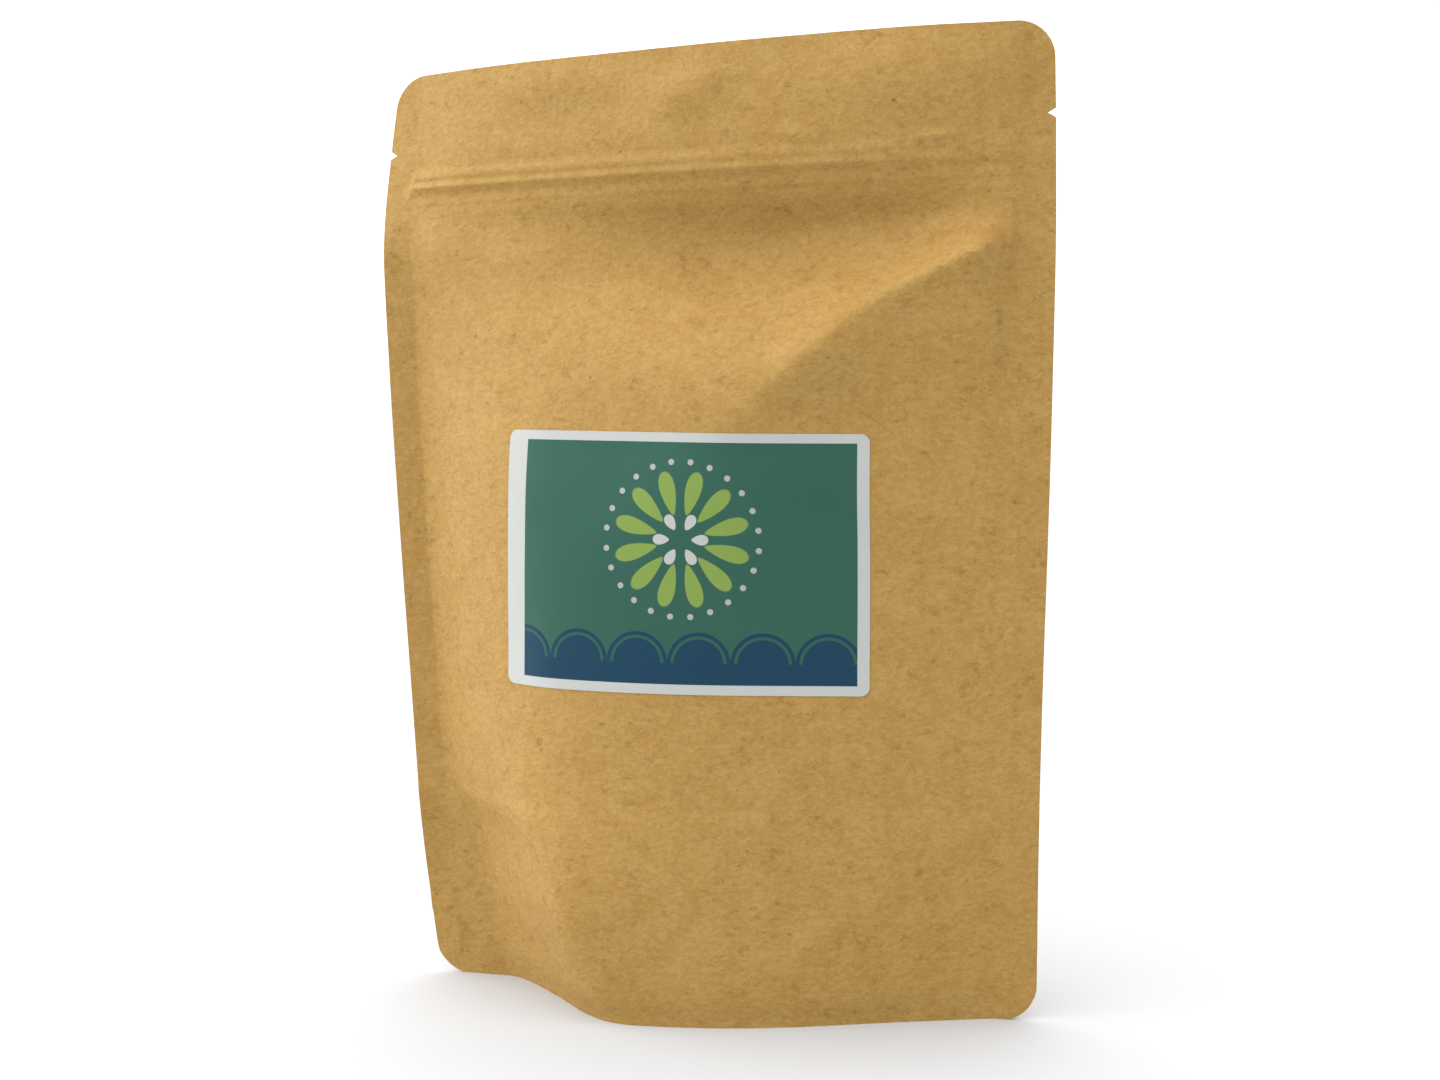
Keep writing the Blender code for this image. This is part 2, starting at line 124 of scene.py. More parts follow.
class PouchSizes(bpy.types.PropertyGroup):
    """Sizes of the papers and of the small forms pressed or crumpled into them."""

    paper: bpy.props.FloatProperty(
        name="Panel paper", description="Thickness of a panel's laminate", default=0.00026, unit="LENGTH")
    gusset_paper: bpy.props.FloatProperty(
        name="Gusset paper", description="Thickness of the gusset's laminate", default=0.0002, unit="LENGTH")
    layer_gap: bpy.props.FloatProperty(
        name="Layer gap", description="Room left between layers that are sealed together", default=0.00006,
        unit="LENGTH")
    corner_radius: bpy.props.FloatProperty(
        name="Corner radius", description="Radius of the pouch's rounded corners", default=0.009, unit="LENGTH")
    mesh_step: bpy.props.FloatProperty(
        name="Mesh step", description="Distance between division lines on the papers", default=0.0016,
        unit="LENGTH")
    zip_relief: bpy.props.FloatProperty(
        name="Zip relief", description="Height of the zip's rib in the paper over it", default=0.00056,
        unit="LENGTH")
    crumple: bpy.props.FloatProperty(
        name="Crumple", description="Depth of the soft crumples all over the paper", default=0.00030,
        unit="LENGTH")
    label_width: bpy.props.FloatProperty(
        name="Label width", description="Width of the label along the paper", default=0.0992, unit="LENGTH")
    label_height: bpy.props.FloatProperty(
        name="Label height", description="Height of the label", default=0.0690, unit="LENGTH")
    label_corner: bpy.props.FloatProperty(
        name="Label corner", description="Radius of the label's corners", default=0.0023, unit="LENGTH")
    label_thick: bpy.props.FloatProperty(
        name="Label thickness", description="Thickness of the label's paper", default=0.00018, unit="LENGTH")


class PouchColours(bpy.types.PropertyGroup):
    """Colours of the kraft paper, the print and the stage."""

    kraft_light: bpy.props.FloatVectorProperty(
        name="Kraft, light", description="Lightest fibres of the kraft paper", default=(0.374, 0.229, 0.067),
        size=3, subtype="COLOR")
    kraft: bpy.props.FloatVectorProperty(
        name="Kraft", description="Body colour of the kraft paper", default=(0.321, 0.181, 0.041),
        size=3, subtype="COLOR")
    kraft_dark: bpy.props.FloatVectorProperty(
        name="Kraft, dark", description="Darkest fibres of the kraft paper", default=(0.154, 0.075, 0.013),
        size=3, subtype="COLOR")
    label_paper: bpy.props.FloatVectorProperty(
        name="Label paper", description="Unprinted margin of the label", default=(0.400, 0.410, 0.390),
        size=3, subtype="COLOR")
    print_field: bpy.props.FloatVectorProperty(
        name="Print, field", description="Main colour of the printed field", default=(0.018, 0.078, 0.054),
        size=3, subtype="COLOR")
    print_deep: bpy.props.FloatVectorProperty(
        name="Print, deep", description="Colour of the printed scallops", default=(0.000, 0.030, 0.066),
        size=3, subtype="COLOR")
    print_bright: bpy.props.FloatVectorProperty(
        name="Print, bright", description="Colour of the printed petals", default=(0.175, 0.265, 0.050),
        size=3, subtype="COLOR")
    zip_plastic: bpy.props.FloatVectorProperty(
        name="Zip plastic", description="Colour of the zip's strips", default=(0.80, 0.80, 0.76),
        size=3, subtype="COLOR")
    dry_weed: bpy.props.FloatVectorProperty(
        name="Dried gutweed", description="Colour of the dried filling", default=(0.07, 0.12, 0.03),
        size=3, subtype="COLOR")
    stage: bpy.props.FloatVectorProperty(
        name="Stage", description="Colour of the floor", default=(0.465, 0.472, 0.482),
        size=3, subtype="COLOR")


def sizes():
    return bpy.context.scene.pouch_sizes


def colours():
    return bpy.context.scene.pouch_colours


# Curves that the forming uses

def ease(t):
    """0 below t = 0, 1 above t = 1, and a smooth step between."""
    t = np.clip(t, 0.0, 1.0)
    return t * t * (3.0 - 2.0 * t)


def bell(t):
    return np.exp(-t * t)


def soft_min(a, b, radius):
    return np.minimum(a, b) - np.maximum(radius - np.abs(a - b), 0.0) ** 2 / (4.0 * radius)


def soft_max(a, b, radius):
    return -soft_min(-a, -b, radius)


def through(at, *stops):
    """A smooth curve through (place, value) stops that doesn't swing past them."""
    place, value = np.array(stops, float).T
    step = np.diff(place)
    rise = np.diff(value) / step
    same_way = rise[1:] * rise[:-1]
    middle = np.where(same_way > 0, 2 * same_way / (rise[1:] + rise[:-1] + 1e-30), 0.0)
    slope = np.concatenate([rise[:1], middle, rise[-1:]])
    at = np.clip(at, place[0], place[-1])
    i = np.clip(np.searchsorted(place, at, side="right") - 1, 0, len(step) - 1)
    t = (at - place[i]) / step[i]
    from_here = value[i] * (1 + 2 * t) * (1 - t) ** 2 + step[i] * slope[i] * t * (1 - t) ** 2
    to_next = value[i + 1] * t * t * (3 - 2 * t) - step[i] * slope[i + 1] * t * t * (1 - t)
    return from_here + to_next


# The standing shape: its edges are the solids' own, its folds are finer than theirs

def left_edge(z):
    x = -through(z, (0, 0.0870), (0.010, 0.0884), (0.033, 0.0900), (0.080, 0.0922), (0.127, 0.0944),
                 (0.173, 0.0962), (0.208, 0.0970), (0.240, 0.0964), (0.259, 0.0948))
    y = 0.0025 - 0.0042 * ease(z / 0.060) + 0.0090 * ease((z - 0.205) / 0.054)
    return x + CENTRING, y


def right_edge(z):
    x = through(z, (0, 0.0870), (0.039, 0.0878), (0.087, 0.0893), (0.129, 0.0911), (0.165, 0.0926),
                (0.215, 0.0944), (0.259, 0.0950))
    y = 0.0020 - 0.0010 * ease(z / 0.060) - 0.0156 * np.maximum(z / STANDING_HEIGHT, 0.0) ** 2.5
    return x + CENTRING, y


def across(u, z):
    left, right = left_edge(z)[0], right_edge(z)[0]
    return left + (right - left) * (u + HALF) / WIDTH


def flat_u(x, z):
    """The place along the flat paper's width that stands at this x, the reverse of across."""
    left, right = left_edge(z)[0], right_edge(z)[0]
    return (x - left) / (right - left) * WIDTH - HALF


def dent(u, z, u_at, z_at, wide, high, turn=0.0):
    """A soft dent round (u_at, z_at), turned by this many degrees."""
    c, s = math.cos(math.radians(turn)), math.sin(math.radians(turn))
    du, dz = u - u_at, z - z_at
    return bell(np.sqrt(((du * c + dz * s) / wide) ** 2 + ((dz * c - du * s) / high) ** 2))


def header_waves(u, z):
    """Soft waves and small creases of the header, which both panels share, as they lie together there."""
    dents = (0.0005 * dent(u, z, 0.0083, 0.2508, 0.0060, 0.0013, 5)
             + 0.0007 * dent(u, z, 0.0300, 0.2336, 0.0050, 0.0014, -15)
             - 0.0006 * dent(u, z, 0.0265, 0.2383, 0.0030, 0.0018)
             + 0.0010 * dent(u, z, 0.0658, 0.2322, 0.0055, 0.0013, 2)
             + 0.0023 * dent(u, z, 0.0560, 0.2485, 0.0270, 0.0085)
             + 0.0009 * dent(u, z, 0.0700, 0.2380, 0.0110, 0.0090)
             + 0.0017 * dent(u, z, -0.0020, 0.2470, 0.0120, 0.0070, 20)
             + 0.0019 * dent(u, z, -0.0420, 0.2525, 0.0280, 0.0065, -5))
    ends = 0.0020 * ease((u + 0.0950) / 0.0350) - 0.0024 * ease((u - 0.0550) / 0.0400)
    return dents + ends * ease((z - 0.2240) / 0.0140)


def tuck(u, z):
    """How far both panels step back under the stiff zip, before the filling pushes them out again."""
    depth = through(u, (-0.0950, 0), (-0.0700, 0.0012), (-0.0200, 0.0052), (0.0200, 0.0078), (0.0550, 0.0072),
                    (0.0800, 0.0014), (0.0950, 0))
    gone_at = through(u, (-0.0600, 0.1800), (0.0, 0.1700), (0.0400, 0.1350), (0.0950, 0.1300))
    return depth * ease((0.2292 - z) / 0.0190) * ease((z - gone_at) / (0.2080 - gone_at))


def empty_seam(u, z):
    """y of the sheet that the side seals would span if the pouch were empty, as in the solids."""
    left, right = left_edge(z)[1], right_edge(z)[1]
    turned = 1.0 - ease((z - 0.185) / 0.040)
    left_crease = left + 0.0018 * turned * ease((z - 0.010) / 0.040)
    right_crease = right - 0.0020 * turned
    inner = left_crease + (right_crease - left_crease) * np.clip((u + INNER) / (2 * INNER), 0, 1)
    left_strip = np.clip((-INNER - u) / SIDE_SEAL, 0, 1) * (left - left_crease)
    right_strip = np.clip((u - INNER) / SIDE_SEAL, 0, 1) * (right - right_crease)
    header_bow = 0.0060 * ease((z - 0.200) / 0.020) * (1.0 - (u / HALF) ** 2)
    return inner + left_strip + right_strip - header_bow


def seam_y(u, z):
    return empty_seam(u, z) - header_waves(u, z) + tuck(u, z)


def front_rise(u, z):
    """How far the filling pushes the front panel out, between its two flanks and the middle that tilts."""
    left_start = through(z, (0, -0.0726), (0.013, -0.0738), (0.030, -0.0762), (0.046, -0.0790), (0.057, -0.0852),
                         (0.065, -INNER), (0.259, -INNER))
    left_slope = through(z, (0, 0.90), (0.013, 0.95), (0.030, 1.00), (0.046, 0.96), (0.060, 0.76), (0.072, 0.69),
                         (0.140, 0.62), (0.155, 0.58), (0.168, 0.49), (0.180, 0.38), (0.195, 0.32), (0.222, 0.30))
    flare = through(z, (0, 0.010), (0.013, 0.008), (0.030, 0.005), (0.046, 0.004), (0.060, 0.003), (0.075, 0.001),
                    (0.259, 0.001))
    run = np.maximum(u - left_start, 0.0)
    left = left_slope * run * run / (run + flare)
    right_start = INNER - 0.004 * ease((0.050 - z) / 0.050)
    right_slope = through(z, (0, 0.42), (0.060, 0.31), (0.120, 0.29), (0.150, 0.325), (0.180, 0.35), (0.259, 0.35))
    right = right_slope * soft_max(right_start - u, 0.0, 0.002)
    lift = through(z, (0, 0.0325), (0.060, 0.0308), (0.090, 0.0288), (0.125, 0.0253), (0.158, 0.0206),
                   (0.184, 0.0152), (0.194, 0.0103), (0.203, 0.0050), (0.211, 0.0016), (0.218, 0.0003),
                   (0.259, 0.0003))
    left_share = ease((-0.005 - u) / 0.045)
    lift = lift + left_share * (0.0036 * bell((z - 0.2060) / 0.0095) - 0.0016 * bell((z - 0.1660) / 0.0180))
    lift = lift + 0.0055 * bell((z - 0.0340) / 0.0220) * bell(np.maximum(u + 0.0340, 0.0) / 0.0340)
    tilt = through(z, (0, 0.02), (0.050, 0.08), (0.090, 0.16), (0.125, 0.10), (0.158, 0.02), (0.259, 0.0))
    middle = lift + tilt * (u + 0.025)
    body = soft_min(left, middle, through(z, (0, 0.009), (0.026, 0.006), (0.050, 0.008), (0.150, 0.008),
                                          (0.170, 0.010), (0.200, 0.004), (0.259, 0.0003)))
    body = soft_min(body, right, through(z, (0, 0.015), (0.060, 0.017), (0.110, 0.013), (0.150, 0.008),
                                         (0.175, 0.003), (0.259, 0.0003)))
    return np.maximum(body, 0.0)


def front_folds(u, z):
    """The slanting fold in the upper right, the hollow under the zip, and the hem drawn in."""
    fold_u = through(z, (0.150, 0.012), (0.165, 0.0210), (0.1748, 0.0305), (0.1833, 0.0405), (0.1937, 0.0550),
                     (0.2007, 0.0703), (0.2065, 0.0860))
    off = np.sqrt((u - fold_u) ** 2 + 0.0012 ** 2)
    fold = 0.0085 * np.exp(-off / np.where(u > fold_u, 0.040, 0.025)) * ease((z - 0.152) / 0.030)
    fold = fold * ease((0.2125 - z) / 0.008) * ease((0.0868 - u) / 0.0090)
    low_line = through(u, (-0.095, 0.217), (-0.050, 0.216), (0, 0.207), (0.020, 0.205), (0.050, 0.208),
                       (0.095, 0.216))
    depth = through(u, (-0.087, 0), (-0.060, 0.0005), (-0.020, 0.0008), (0.020, 0.0014), (0.060, 0.0010),
                    (0.087, 0))
    hollow = depth * bell((z - low_line) / 0.0085) * ease((0.2208 - z) / 0.006)
    hem = 0.0013 * ease((0.009 - z) / 0.009) * ease((INNER - np.abs(u)) / 0.040)
    return fold - hollow - hem


def back_rise(u, z):
    """How far the filling pushes the back panel out."""
    start = INNER - 0.016 * ease((0.052 - z) / 0.052)
    slope = through(z, (0, 0.72), (0.060, 0.60), (0.200, 0.45), (0.222, 0.30))
    flank = slope * soft_max(start - np.abs(u), 0.0, through(z, (0, 0.018), (0.050, 0.006), (0.259, 0.004)))
    lift = through(z, (0, 0.0290), (0.060, 0.0290), (0.120, 0.0250), (0.170, 0.0170), (0.200, 0.0085),
                   (0.214, 0.0026), (0.222, 0.0003), (0.259, 0.0003))
    body = soft_min(flank, lift, through(z, (0, 0.016), (0.120, 0.014), (0.200, 0.006), (0.259, 0.0003)))
    return np.maximum(body, 0.0)


def zip_share(u, z):
    """The zip's thickness against the solids': fullest at its rib, thin at its rims, crushed flat at the side seals."""
    height = z / STOOD
    rims = ease((height - ZIP_LOW + 0.0010) / 0.0010) * ease((ZIP_HIGH + 0.0010 - height) / 0.0010)
    rib = ease((height - 0.2251) / 0.0024) * ease((0.2332 - height) / 0.0024)
    full = through(u, (-INNER, 0.24), (-0.0790, 0.52), (-0.0500, 0.46), (0.0, 0.36), (0.0500, 0.26), (0.0780, 0.20),
                   (INNER, 0.10))
    return (0.06 * rims + full * rib) * ease((INNER + 0.0006 - np.abs(u)) / 0.0018)


def half_gap(u, z):
    """Half the room between the panels where nothing pushes them apart; the seals lie closer than the solids'."""
    gusset = (sizes().gusset_paper + sizes().layer_gap) * ease((GUSSET_DEPTH + 0.0025 - z) / 0.0025)
    return sizes().layer_gap / 2 + gusset + ZIP_ROOM * zip_share(u, z)


# Small forms in the paper, finer than the solids hold

def zip_lines(u, z):
    """The zip showing through: the rib's line, the groove over it, a fainter line below, and the rib's curled end."""
    height = z / STOOD
    rib = bell((height - 0.2278) / 0.00068) * ease((u + 0.0882) / 0.0016)
    groove = 0.55 * bell((height - 0.2295) / 0.00052) * ease((u + 0.0866) / 0.0016)
    curl = 0.9 * bell((height - 0.2262) / 0.0015) * bell((u + 0.0872) / 0.0009)
    strips = 0.36 * bell((height - 0.2232) / 0.00100)
    fading = through(u, (-0.0880, 1.0), (-0.0620, 0.90), (-0.0450, 0.68), (0.0, 0.52), (0.0400, 0.40), (0.0600, 0.20),
                     (0.0850, 0.05))
    return (rib - groove + curl + strips * ease((u + 0.0872) / 0.0050)) * fading


def punch_mark(u, z, side):
    """The raised rim of the hole punched through the gusset's folds, steep inside and easing off outside."""
    away = np.sqrt((u - side * PUNCH_U) ** 2 + (z - PUNCH_Z) ** 2)
    return ease((away - 0.0050) / 0.0010) * ease((0.0120 - away) / 0.0056)


def crumple(u, z, seed):
    """Soft crumples from smooth noise at two scales, gone at the sealed edges."""
    places = np.stack([u, z], axis=-1)
    broad = np.array([noise.noise(Vector((a * 42.0, b * 42.0, seed))) for a, b in places])
    narrow = np.array([noise.noise(Vector((a * 115.0, b * 95.0, seed + 7.0))) for a, b in places])
    fade = 0.25 + 0.75 * ease((INNER - np.abs(u)) / 0.012)
    return sizes().crumple * (broad + 0.38 * narrow) * fade


def seal_line(u, z):
    """The faint line at a side seal's inner edge, gone higher up."""
    return 0.00010 * bell((np.abs(u) - INNER) / 0.0010) * ease((0.150 - z) / 0.060)


def front_details(u, z):
    lines = sizes().zip_relief * zip_lines(u, z)
    dents = (-0.0013 * dent(u, z, 0.0040, 0.2010, 0.0080, 0.0060)
             - 0.0014 * dent(u, z, 0.0250, 0.2085, 0.0090, 0.0065)
             - 0.0009 * dent(u, z, -0.0630, 0.2090, 0.0070, 0.0060)
             + 0.0006 * dent(u, z, -0.0740, 0.2080, 0.0080, 0.0120, 20))
    crease_at = (z - 0.055) - 0.62 * (u - 0.087)
    low_crease = 0.00045 * bell(crease_at / 0.006) * ease((u - 0.010) / 0.025) * ease((0.088 - u) / 0.012)
    marks = 0.00032 * punch_mark(u, z, -1) + 0.00016 * punch_mark(u, z, 1)
    return lines + dents + low_crease + marks + seal_line(u, z) + crumple(u, z, FRONT_SEED)


def back_details(u, z):
    lines = 0.8 * sizes().zip_relief * zip_lines(u, z)
    dents = (-0.0009 * dent(u, z, -0.030, 0.1900, 0.020, 0.0060, 25)
             + 0.0008 * dent(u, z, 0.034, 0.1860, 0.018, 0.0060, -30)
             - 0.0007 * dent(u, z, 0.010, 0.0600, 0.030, 0.0090, 5))
    marks = 0.00024 * (punch_mark(u, z, -1) + punch_mark(u, z, 1))
    together = np.maximum(ease((z - 0.2180) / 0.0070), ease((np.abs(u) - INNER + 0.0070) / 0.0070))
    crumples = crumple(u, z, BACK_SEED) * (1.0 - together) - crumple(u, z, FRONT_SEED) * together
    return lines + dents + marks + seal_line(u, z) + crumples


def front_inside(u, z):
    return seam_y(u, z) - half_gap(u, z) - front_rise(u, z) - front_folds(u, z)


def back_inside(u, z):
    return seam_y(u, z) + half_gap(u, z) + back_rise(u, z)


def slant(inside, u, z):
    """How much further along Y a surface parallel to this one lies than square to it."""
    reach = 0.0005
    slope_u = (inside(u + reach, z) - inside(u - reach, z)) / (2 * reach)
    slope_z = (inside(u, z + reach) - inside(u, z - reach)) / (2 * reach)
    return np.minimum(np.sqrt(1.0 + slope_u ** 2 + slope_z ** 2), 1.6)


def formed(inside, details, u, z, outward):
    """Places on a panel for arrays of u, z and the distance outside its inner face."""
    way = -1.0 if inside is front_inside else 1.0
    y = inside(u, z) + way * (outward * slant(inside, u, z) + details(u, z))
    top_bow = TOP_BOW * ease((z - 0.200) / 0.055) * bell((u - 0.020) / 0.080)
    return np.stack([across(u, z), y, z + top_bow], axis=-1)


# Sheets

def spaced(low, high, step):
    count = max(round((high - low) / step), 1)
    return list(np.linspace(low, high, count + 1))


def flat_grid(columns, rows):
    """A flat sheet in the XZ plane with division lines at these places."""
    bm = bmesh.new()
    bmesh.ops.create_grid(bm, x_segments=len(columns) - 1, y_segments=len(rows) - 1, size=0.5)
    for vert in bm.verts:
        i = round((vert.co.x + 0.5) * (len(columns) - 1))
        j = round((vert.co.y + 0.5) * (len(rows) - 1))
        vert.co = (columns[i], 0.0, rows[j])
    return bm


def round_corners(bm, half_width, low, high, radius):
    for side in (-1, 1):
        for up, edge in ((-1, low), (1, high)):
            centre = Vector((side * (half_width - radius), 0, edge - up * radius))
            for i in range(CORNER_CHORDS):
                turn = math.radians(90.0 * (i + 0.5) / CORNER_CHORDS)
                outward = Vector((side * math.cos(turn), 0, up * math.sin(turn)))
                geometry = bm.verts[:] + bm.edges[:] + bm.faces[:]
                bmesh.ops.bisect_plane(bm, geom=geometry, dist=1e-7, plane_co=centre + outward * radius,
                                       plane_no=outward, clear_outer=True)
    bmesh.ops.remove_doubles(bm, verts=bm.verts, dist=2e-5)


def keep_flat_places(bm):
    """Writes each corner's flat place into the sheet's UV map, in metres, for patterns that follow the paper."""
    layer = bm.loops.layers.uv.new("flat")
    for face in bm.faces:
        for loop in face.loops:
            loop[layer].uv = (loop.vert.co.x, loop.vert.co.z)


def to_piece(name, bm, look, body, slot, *replaced):
    bmesh.ops.recalc_face_normals(bm, faces=bm.faces)
    if bm.calc_volume(signed=True) < 0:
        bmesh.ops.reverse_faces(bm, faces=bm.faces)
    mesh = bpy.data.meshes.new(name)
    bm.to_mesh(mesh)
    bm.free()
    mesh.materials.append(look)
    mesh.shade_smooth()
    mesh.set_sharp_from_angle(angle=math.radians(SHARP_FROM_DEGREES))
    piece = bpy.data.objects.new(name, mesh)
    bpy.context.scene.collection.objects.link(piece)
    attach(piece, body)
    if replaced:
        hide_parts(*replaced)
    return piece


def thick_sheet(bm, thickness, place):
    """Gives a flat sheet its thickness and forms both faces: place(u, v, outward) returns an array of places."""
    bmesh.ops.solidify(bm, geom=bm.faces[:], thickness=thickness)
    verts = bm.verts[:]
    flat = np.array([vert.co for vert in verts])
    outward = np.where(np.abs(flat[:, 1]) > thickness / 2, thickness, 0.0)
    for vert, co in zip(verts, place(flat[:, 0], flat[:, 2], outward)):
        vert.co = co


def panel_sheet():
    step = sizes().mesh_step
    columns = (spaced(-HALF, -INNER - SEAL_BAND_OUT, EDGE_STEP)[:-1]
               + spaced(-INNER - SEAL_BAND_OUT, -INNER + SEAL_BAND_IN, SEAL_BAND_STEP)
               + spaced(-INNER + SEAL_BAND_IN, INNER - SEAL_BAND_IN, step)[1:-1]
               + spaced(INNER - SEAL_BAND_IN, INNER + SEAL_BAND_OUT, SEAL_BAND_STEP)
               + spaced(INNER + SEAL_BAND_OUT, HALF, EDGE_STEP)[1:])
    notch_low, notch_high = NOTCH_HEIGHT - NOTCH_HALF, NOTCH_HEIGHT + NOTCH_HALF
    rows = (spaced(0.0, ZIP_ROWS_FROM, step) + spaced(ZIP_ROWS_FROM, notch_low, ZIP_ROWS_STEP)[1:]
            + [NOTCH_HEIGHT] + spaced(notch_high, HEIGHT, step))
    bm = flat_grid(columns, rows)
    round_corners(bm, HALF, 0.0, HEIGHT, sizes().corner_radius)
    keep_flat_places(bm)
    for vert in bm.verts:
        if abs(vert.co.z - NOTCH_HEIGHT) < 1e-5 and abs(abs(vert.co.x) - HALF) < 1e-5:
            vert.co.x -= math.copysign(NOTCH_DEEP, vert.co.x)
    return bm


def panel_piece(name, inside, details, node):
    bm = panel_sheet()
    thick_sheet(bm, sizes().paper, lambda u, v, outward: formed(inside, details, u, v * STOOD, outward))
    return to_piece(name, bm, kraft_look("kraft_paper_" + node), "root", node, node)


def gusset_places(u, q, inward):
    """The gusset's sheet: q runs from the front hem over the middle fold to the back hem."""
    toward_side = np.minimum(np.abs(u) / INNER, 1.0)
    sealed_to = 0.010 + 0.040 * toward_side ** 2.4
    fold_height = FLOOR_CLEAR + (GUSSET_DEPTH - FOLD_BELOW - FLOOR_CLEAR) * toward_side ** 3.0
    up = GUSSET_DEPTH - np.abs(q)
    share = np.clip((up - sealed_to) / (GUSSET_DEPTH - sealed_to), 0.0, 1.0)
    on_panel = np.minimum(up, sealed_to)
    front = q < 0
    wall = np.where(front, front_inside(u, on_panel) - front_details(u, on_panel),
                    back_inside(u, on_panel) + back_details(u, on_panel))
    steep = np.where(front, slant(front_inside, u, on_panel), slant(back_inside, u, on_panel))
    off_panel = (sizes().layer_gap + inward) * steep
    wall = wall + np.where(front, off_panel, -off_panel)
    fold_y = seam_y(u, on_panel)
    z = on_panel + (fold_height - on_panel) * ease(share * 1.5) + inward * ease(share * 4.0)
    puckers = 0.0006 * np.sin(u * 210.0) * ease(share * 3.0) * ease((1.0 - toward_side) * 3.0)
    return np.stack([across(u, on_panel), wall + (fold_y - wall) * share, z + puckers], axis=-1)


def zip_piece(node):
    """A zip's strip as thin as the paper's relief lets it be: the solid's own shape, pressed towards the seam."""
    bm = bmesh.new()
    bm.from_mesh(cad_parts[node].data)
    bmesh.ops.remove_doubles(bm, verts=bm.verts, dist=1e-6)
    bmesh.ops.subdivide_edges(bm, edges=bm.edges[:], cuts=ZIP_CUTS, use_grid_fill=True)
    verts = bm.verts[:]
    x, y, z = np.array([vert.co for vert in verts]).T
    u = flat_u(x, z)
    for vert, pressed in zip(verts, seam_y(u, z) + (y - empty_seam(u, z)) * ZIP_PRESSED * zip_share(u, z)):
        vert.co.y = pressed
    return to_piece(node + "_strip", bm, zip_look("zip_plastic_" + node), "root", node, node)


# Materials

class Value:
    """One value in a material's nodes. Python's operators on it add the Math nodes."""

    def __init__(self, look, socket):
        self.look = look
        self.socket = socket

    def math(self, operation, *others):
        values = {i: other for i, other in enumerate((self, *others))}
        return self.look.node("ShaderNodeMath", {"operation": operation}, values)

    def reflected(self, operation, other):
        return self.look.node("ShaderNodeMath", {"operation": operation}, {0: other, 1: self})

    def __add__(self, other):
        return self.math("ADD", other)

    def __radd__(self, other):
        return self.math("ADD", other)

    def __sub__(self, other):
        return self.math("SUBTRACT", other)

    def __rsub__(self, other):
        return self.reflected("SUBTRACT", other)

    def __mul__(self, other):
        return self.math("MULTIPLY", other)

    def __rmul__(self, other):
        return self.math("MULTIPLY", other)

    def __truediv__(self, other):
        return self.math("DIVIDE", other)

    def __pow__(self, other):
        return self.math("POWER", other)

    def floor(self):
        return self.math("FLOOR")

    def abs(self):
        return self.math("ABSOLUTE")

    def step(self, start, end):
        """A smooth step from 0 at start to 1 at end."""
        settings = {"interpolation_type": "SMOOTHSTEP"}
        return self.look.node("ShaderNodeMapRange", settings, {"Value": self, "From Min": start, "From Max": end})


class Look:
    """A material's or a world's nodes, and the shader that they feed."""

    def __init__(self, made, shader="Principled BSDF"):
        self.made = made
        made.use_nodes = True
        self.nodes = made.node_tree.nodes
        self.links = made.node_tree.links
        self.shader = self.nodes[shader]

    def node(self, kind, settings=None, values=None, out=0):
        """Adds a node, sets its settings, then fills its sockets, and returns one of its outputs."""
        made = self.nodes.new(kind)
        for name, setting in (settings or {}).items():
            setattr(made, name, setting)
        for key, value in (values or {}).items():
            self.fill(made.inputs[key], value)
        return Value(self, made.outputs[out])

    def fill(self, socket, value):
        if isinstance(value, Value):
            self.links.new(value.socket, socket)
        elif isinstance(value, (tuple, list)) and len(value) == 3 and socket.type == "RGBA":
            socket.default_value = (*value, 1.0)
        else:
            socket.default_value = value

    def surface(self, **values):
        named = {socket.name.lower(): socket for socket in self.shader.inputs}
        for name, value in values.items():
            self.fill(named[name.replace("_", " ")], value)
        return self.made

    def object_place(self, scale=(1, 1, 1)):
        place = self.node("ShaderNodeTexCoord", out="Object")
        return self.node("ShaderNodeMapping", None, {"Vector": place, "Scale": scale})

    def flat_place(self):
        place = self.node("ShaderNodeUVMap", {"uv_map": "flat"})
        return [self.node("ShaderNodeSeparateXYZ", None, {0: place}, out=i) for i in (0, 1)]

    def noise(self, place, scale, detail=2.0, roughness=0.5):
        values = {"Vector": place, "Scale": scale, "Detail": detail, "Roughness": roughness}
        return self.node("ShaderNodeTexNoise", None, values)

    def mix(self, share, first, second):
        return self.node("ShaderNodeMix", {"data_type": "RGBA"}, {0: share, 6: first, 7: second}, out=2)

    def bump(self, height, strength, distance):
        return self.node("ShaderNodeBump", None, {"Height": height, "Strength": strength, "Distance": distance})


def kraft_look(name):
    """Kraft paper: light and dark fibres lying mostly along the width, soft mottling, and a few dark specks."""
    look = Look(bpy.data.materials.new(name))
    tone = colours()
    place = look.object_place()
    along = look.object_place((1.0, 1.0, 1.4))
    mottle = look.noise(place, 120.0, 5.0, 0.66).step(0.34, 0.66)
    fibres = look.noise(along, 520.0, 3.0, 0.65).step(0.36, 0.66)
    fine = look.noise(place, 1400.0, 2.0, 0.6)
    dark_fibres = look.noise(along, 250.0, 4.0, 0.74).step(0.52, 0.74)
    speck = look.noise(place, 620.0, 1.0, 0.4).step(0.800, 0.820)
    colour = look.mix(0.46 * mottle + 0.66 * fibres, tuple(tone.kraft), tuple(tone.kraft_light))
    colour = look.mix(0.44 * dark_fibres + 0.24 * fine.step(0.50, 0.75), colour, tuple(tone.kraft_dark))
    colour = look.mix(0.60 * speck, colour, (0.08, 0.045, 0.020))
    relief = 0.5 * fibres + 0.3 * fine + 0.8 * look.noise(place, 150.0, 3.0)
    return look.surface(base_color=colour, roughness=0.58 + 0.14 * fine, specular_ior_level=0.22,
                        normal=look.bump(relief, 0.55, 0.00032))


